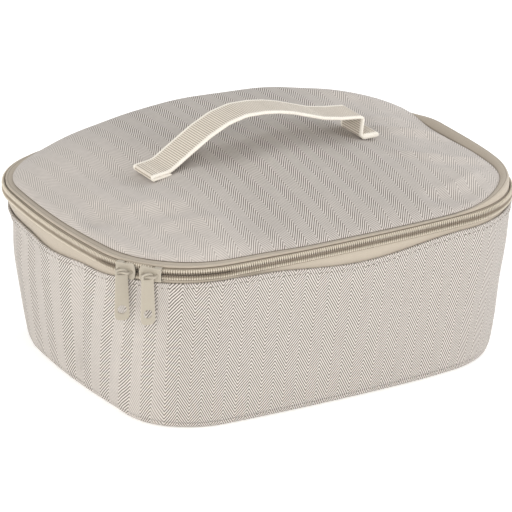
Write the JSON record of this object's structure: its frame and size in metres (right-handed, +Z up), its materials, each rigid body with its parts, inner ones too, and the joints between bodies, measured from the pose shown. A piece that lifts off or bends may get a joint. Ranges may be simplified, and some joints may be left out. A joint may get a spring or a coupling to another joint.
{
  "type": "cooler bag",
  "caption": "Soft insulated cooler bag: padded herringbone tub and domed lid on a cloth hinge, two-way zip with hanging pulls, and a webbing carry handle across the lid",
  "frame": {"origin": "On the surface that the bag stands on, under the middle of the bag", "axes": "+X to the right along the front, +Y to the back with the cloth hinge, +Z up"},
  "size_m": [0.2948, 0.2378, 0.1589],
  "materials": {
    "herringbone_cloth": "cream and grey-brown herringbone weave, dull",
    "padding_foam": "soft closed-cell padding, dull",
    "liner_film": "silvery coated lining, slightly shiny",
    "binding_tape": "woven binding, dull",
    "zip_tape": "beige twill, dull",
    "zip_coil": "beige nylon coil, satin",
    "handle_webbing": "ribbed grey-beige webbing with cream edges, dull",
    "zip_enamel": "beige enamel on die-cast metal, satin"
  },
  "bodies": {
    "tub": {"side_wall": "herringbone_cloth", "base_panel": "herringbone_cloth", "wall_foam": "padding_foam", "base_foam": "padding_foam", "wall_liner": "liner_film", "base_liner": "liner_film", "rim_binding": "binding_tape", "body_zip_tape": "zip_tape", "body_zip_coil": "zip_coil", "body_stop_left": "zip_coil", "body_stop_right": "zip_coil", "hinge_strip": "zip_tape"},
    "lid": {"lid_panel": "herringbone_cloth", "lid_foam": "padding_foam", "lid_liner": "liner_film", "lid_binding": "binding_tape", "lid_zip_tape": "zip_tape", "lid_zip_coil": "zip_coil", "lid_stop_left": "zip_coil", "lid_stop_right": "zip_coil", "handle_strap": "handle_webbing"},
    "slider_left": {"slider_left": "zip_enamel"},
    "pull_left": {"pull_left": "zip_enamel"},
    "slider_right": {"slider_right": "zip_enamel"},
    "pull_right": {"pull_right": "zip_enamel"}
  },
  "joints": [
    {"name": "lid_hinge", "type": "hinge", "parent": "tub", "child": "lid", "pos_m": [0, 0.1192, 0.1055], "axis": [-1, 0, 0], "range_deg": [0, 180], "deforming": ["hinge_strip"]},
    {"name": "slider_left_travel", "type": "hinge", "parent": "tub", "child": "slider_left", "pos_m": [-0.07988, -0.0519, 0.1055], "axis": [0, 0, -1], "range_deg": [0, 20], "deforming": ["body_zip_coil", "lid_zip_coil"]},
    {"name": "slider_right_travel", "type": "hinge", "parent": "tub", "child": "slider_right", "pos_m": [-0.07988, -0.0519, 0.1055], "axis": [0, 0, 1], "range_deg": [0, 44], "deforming": ["body_zip_coil", "lid_zip_coil"]},
    {"name": "pull_left_swing", "type": "hinge", "parent": "slider_left", "child": "pull_left", "pos_m": [-0.14179, -0.08409, 0.1055], "axis": [-0.4613, 0.8872, 0], "range_deg": [0, 170]},
    {"name": "pull_right_swing", "type": "hinge", "parent": "slider_right", "child": "pull_right", "pos_m": [-0.13198, -0.09833, 0.1055], "axis": [-0.6653, 0.7466, 0], "range_deg": [0, 170]}
  ]
}
